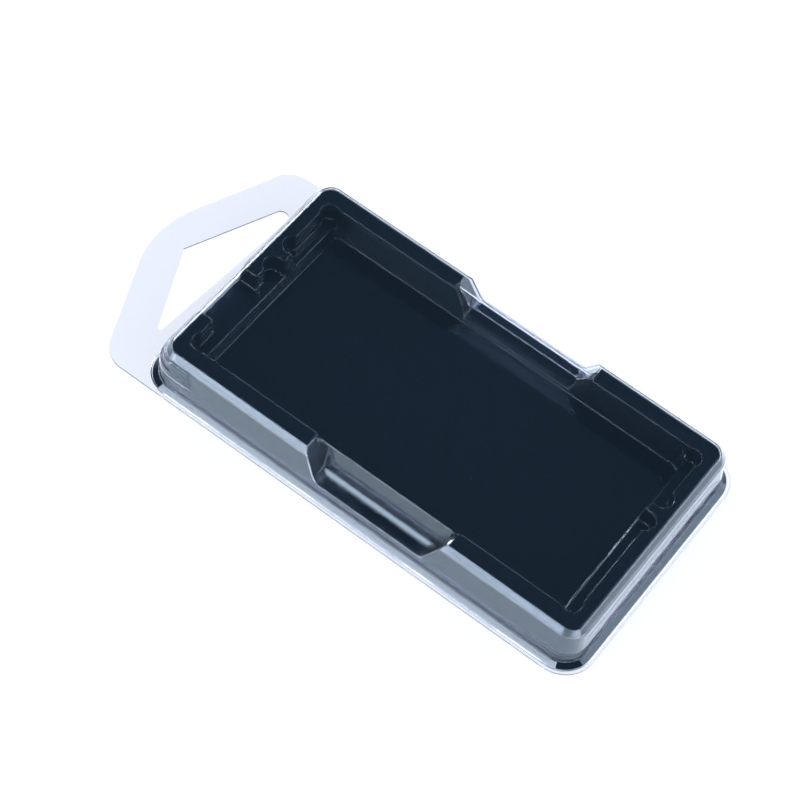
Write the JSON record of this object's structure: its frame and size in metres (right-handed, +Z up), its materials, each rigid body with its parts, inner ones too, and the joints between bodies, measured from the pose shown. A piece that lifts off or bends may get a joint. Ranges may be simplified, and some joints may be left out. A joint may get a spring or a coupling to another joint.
{
  "type": "plastic clamshell pack",
  "caption": "Slim two-piece retail pack: a clear formed cover with bevelled top, thumb notches and a hang tab, closed over a glossy black formed tray.",
  "frame": {"origin": "on the table, under the middle of the whole pack with its hang tab", "axes": "+X from the hang tab along the pack, +Y across the pack, +Z up from the table"},
  "size_m": [0.178, 0.0874, 0.015],
  "materials": {
    "clear_sheet": "clear rigid film, glossy, about 0.45 mm",
    "black_sheet": "glossy black rigid film, about 0.5 mm"
  },
  "bodies": {
    "tray": {"inner_tray": "black_sheet"},
    "cover": {"clear_cover": "clear_sheet"}
  },
  "joints": [
    {"name": "cover_lift", "type": "slide", "parent": "tray", "child": "cover", "axis": [0, 0, 1], "range_m": [0, 0.03]}
  ]
}
